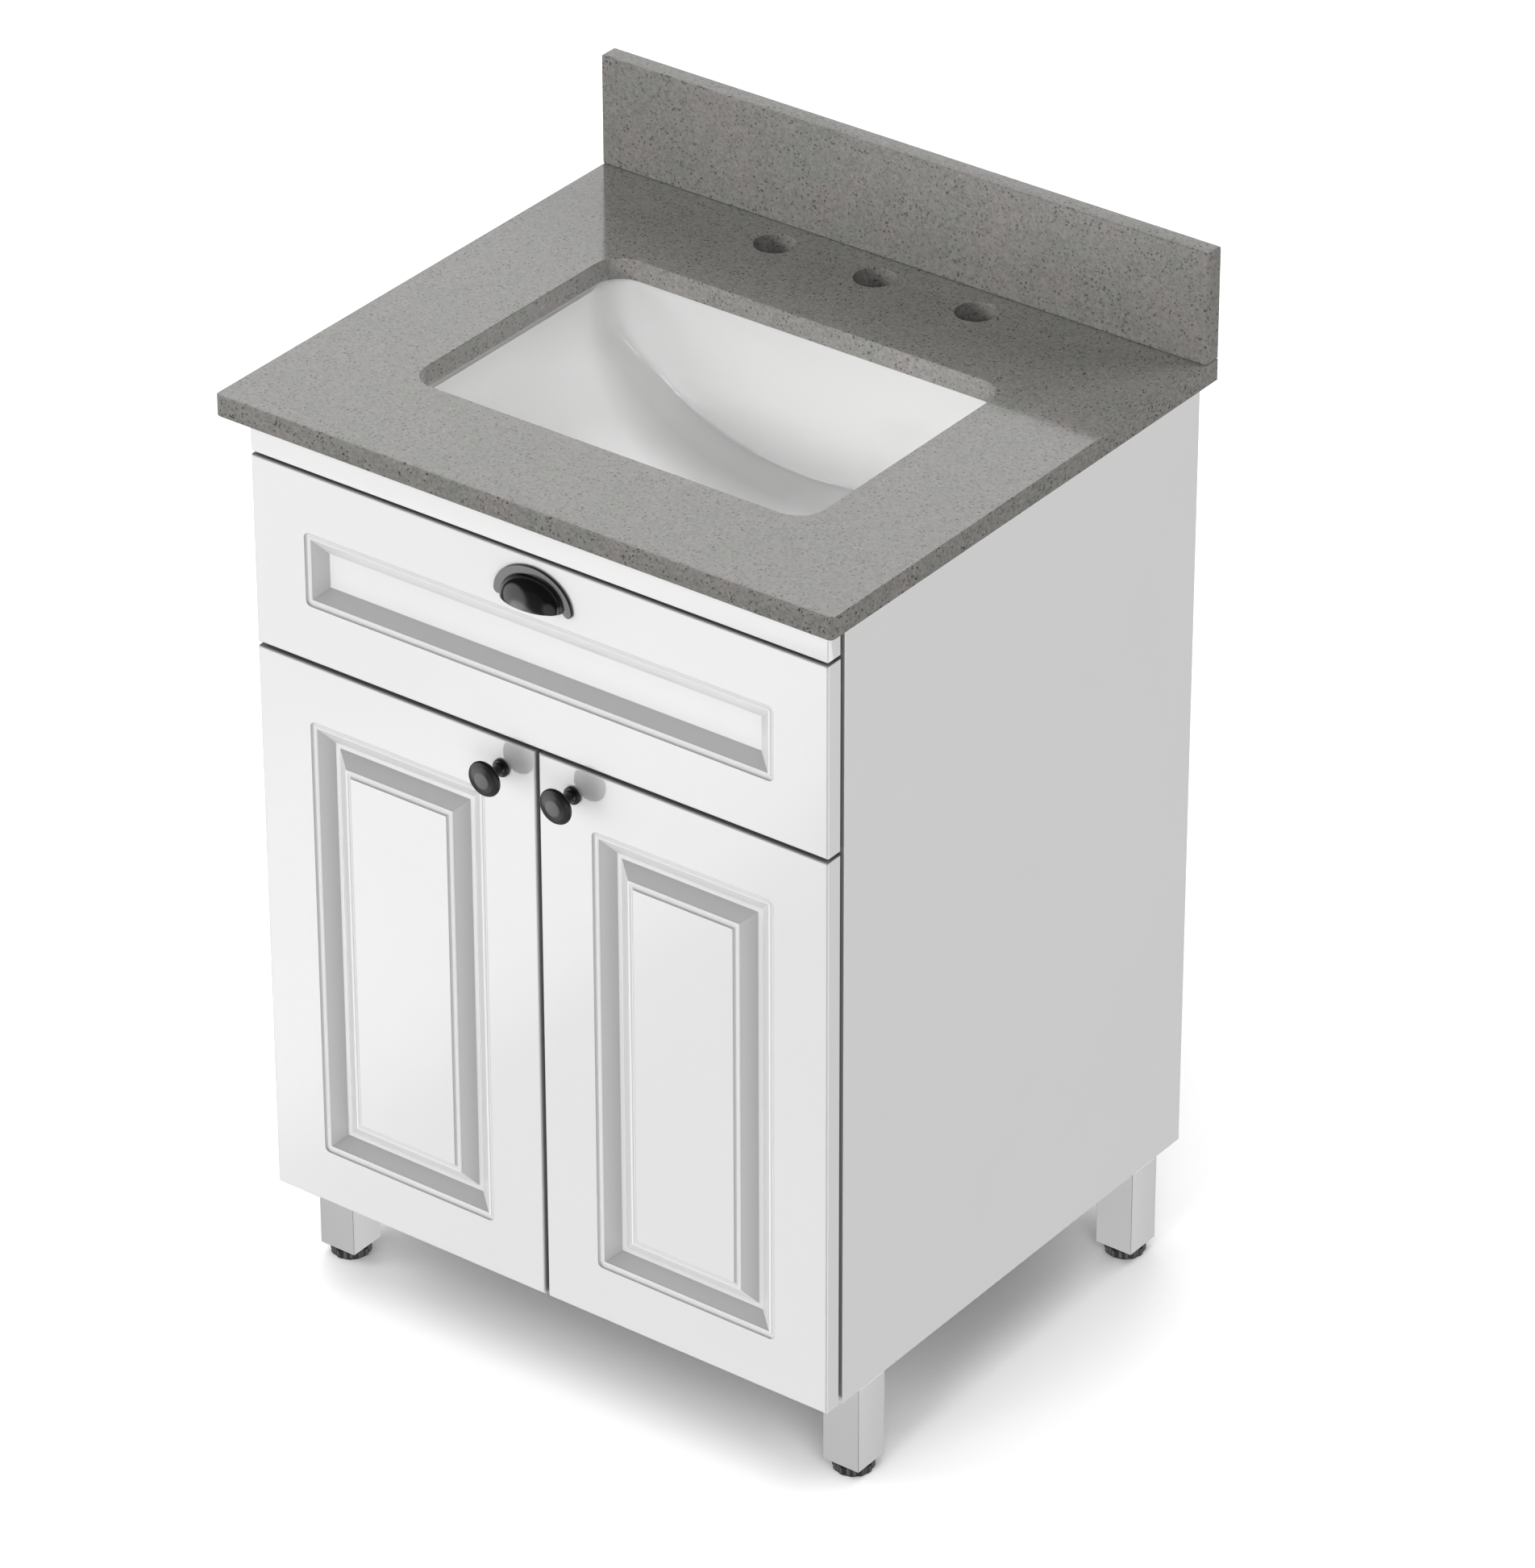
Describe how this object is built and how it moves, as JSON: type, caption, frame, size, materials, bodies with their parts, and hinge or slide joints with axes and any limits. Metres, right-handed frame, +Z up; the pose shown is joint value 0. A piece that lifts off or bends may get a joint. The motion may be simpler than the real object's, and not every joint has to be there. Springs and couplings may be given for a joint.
{
  "type": "bathroom vanity cabinet",
  "caption": "Freestanding bathroom vanity cabinet: stone top with backsplash and undermount basin, drawer with cup pull, paired doors with knobs, square metal legs.",
  "frame": {"origin": "on the floor, under the middle of the whole object's box", "axes": "+Z up, -Y is the front with the doors and drawer, +X to the right of someone who faces the front"},
  "size_m": [0.6096, 0.5336, 0.955],
  "materials": {
    "lacquer": "gloss",
    "board": "satin",
    "stone": "gloss",
    "ceramic": "gloss",
    "black_hardware": "satin",
    "aluminium": "satin",
    "steel": "satin",
    "foot_plastic": "matte",
    "drawer_board": "satin"
  },
  "bodies": {
    "cabinet": {"countertop": "stone", "backsplash": "stone", "sink_basin": "ceramic", "side_panel_left": "lacquer", "side_panel_right": "lacquer", "bottom_panel": "board", "back_rail_lower": "board", "back_rail_upper": "board", "divider_rail": "board", "front_stretcher": "board", "fascia": "lacquer", "leg_front_left": "aluminium", "leg_plate_front_left": "steel", "leg_front_right": "aluminium", "leg_plate_front_right": "steel", "leg_rear_left": "aluminium", "leg_plate_rear_left": "steel", "leg_rear_right": "aluminium", "leg_plate_rear_right": "steel", "slide_outer_left": "steel", "hinge_plate_lower_left": "steel", "hinge_arm_lower_left": "steel", "hinge_plate_upper_left": "steel", "hinge_arm_upper_left": "steel", "slide_outer_right": "steel", "hinge_plate_lower_right": "steel", "hinge_arm_lower_right": "steel", "hinge_plate_upper_right": "steel", "hinge_arm_upper_right": "steel"},
    "drawer": {"drawer_front": "lacquer", "cup_pull": "black_hardware", "drawer_box_front": "drawer_board", "drawer_side_left": "drawer_board", "drawer_side_right": "drawer_board", "drawer_back_left": "drawer_board", "drawer_back_right": "drawer_board", "drawer_pipe_notch": "drawer_board", "drawer_bottom": "drawer_board", "slide_inner_left": "steel", "slide_inner_right": "steel"},
    "slide_middles": {"slide_middle_left": "steel", "slide_middle_right": "steel"},
    "links_left": {"hinge_link_lower_left": "steel", "hinge_link_upper_left": "steel"},
    "door_left": {"door_left": "lacquer", "knob_left": "black_hardware", "hinge_cup_lower_left": "steel", "hinge_cup_upper_left": "steel"},
    "links_right": {"hinge_link_lower_right": "steel", "hinge_link_upper_right": "steel"},
    "door_right": {"door_right": "lacquer", "knob_right": "black_hardware", "hinge_cup_lower_right": "steel", "hinge_cup_upper_right": "steel"},
    "foot_front_left": {"foot_front_left": "foot_plastic"},
    "foot_front_right": {"foot_front_right": "foot_plastic"},
    "foot_rear_left": {"foot_rear_left": "foot_plastic"},
    "foot_rear_right": {"foot_rear_right": "foot_plastic"}
  },
  "joints": [
    {"name": "drawer_slide", "type": "slide", "parent": "cabinet", "child": "drawer", "axis": [0, -1, 0], "range_m": [0, 0.38]},
    {"name": "middle_slide", "type": "slide", "parent": "cabinet", "child": "slide_middles", "axis": [0, -1, 0], "range_m": [0, 0.19]},
    {"name": "door_left_link", "type": "hinge", "parent": "cabinet", "child": "links_left", "pos_m": [-0.2571, -0.2268, 0.359], "axis": [0, 0, 1], "range_deg": [0, 63.5]},
    {"name": "door_left_swing", "type": "hinge", "parent": "links_left", "child": "door_left", "pos_m": [-0.2718, -0.2226, 0.359], "axis": [0, 0, -1], "range_deg": [0, 163.48]},
    {"name": "door_right_link", "type": "hinge", "parent": "cabinet", "child": "links_right", "pos_m": [0.2571, -0.2268, 0.359], "axis": [0, 0, -1], "range_deg": [0, 63.5]},
    {"name": "door_right_swing", "type": "hinge", "parent": "links_right", "child": "door_right", "pos_m": [0.2718, -0.2226, 0.359], "axis": [0, 0, 1], "range_deg": [0, 163.48]},
    {"name": "foot_front_left_turn", "type": "hinge", "parent": "cabinet", "child": "foot_front_left", "pos_m": [-0.2654, -0.1731, 0], "axis": [0, 0, 1], "continuous": true},
    {"name": "foot_front_right_turn", "type": "hinge", "parent": "cabinet", "child": "foot_front_right", "pos_m": [0.2654, -0.1731, 0], "axis": [0, 0, 1], "continuous": true},
    {"name": "foot_rear_left_turn", "type": "hinge", "parent": "cabinet", "child": "foot_rear_left", "pos_m": [-0.2654, 0.22, 0], "axis": [0, 0, 1], "continuous": true},
    {"name": "foot_rear_right_turn", "type": "hinge", "parent": "cabinet", "child": "foot_rear_right", "pos_m": [0.2654, 0.22, 0], "axis": [0, 0, 1], "continuous": true}
  ],
  "couplings": [
    {"joint": "middle_slide", "follows": "drawer_slide", "ratio": 0.5},
    {"joint": "door_left_link", "follows": "door_left_swing", "ratio": 0.3883},
    {"joint": "door_right_link", "follows": "door_right_swing", "ratio": 0.3883}
  ]
}
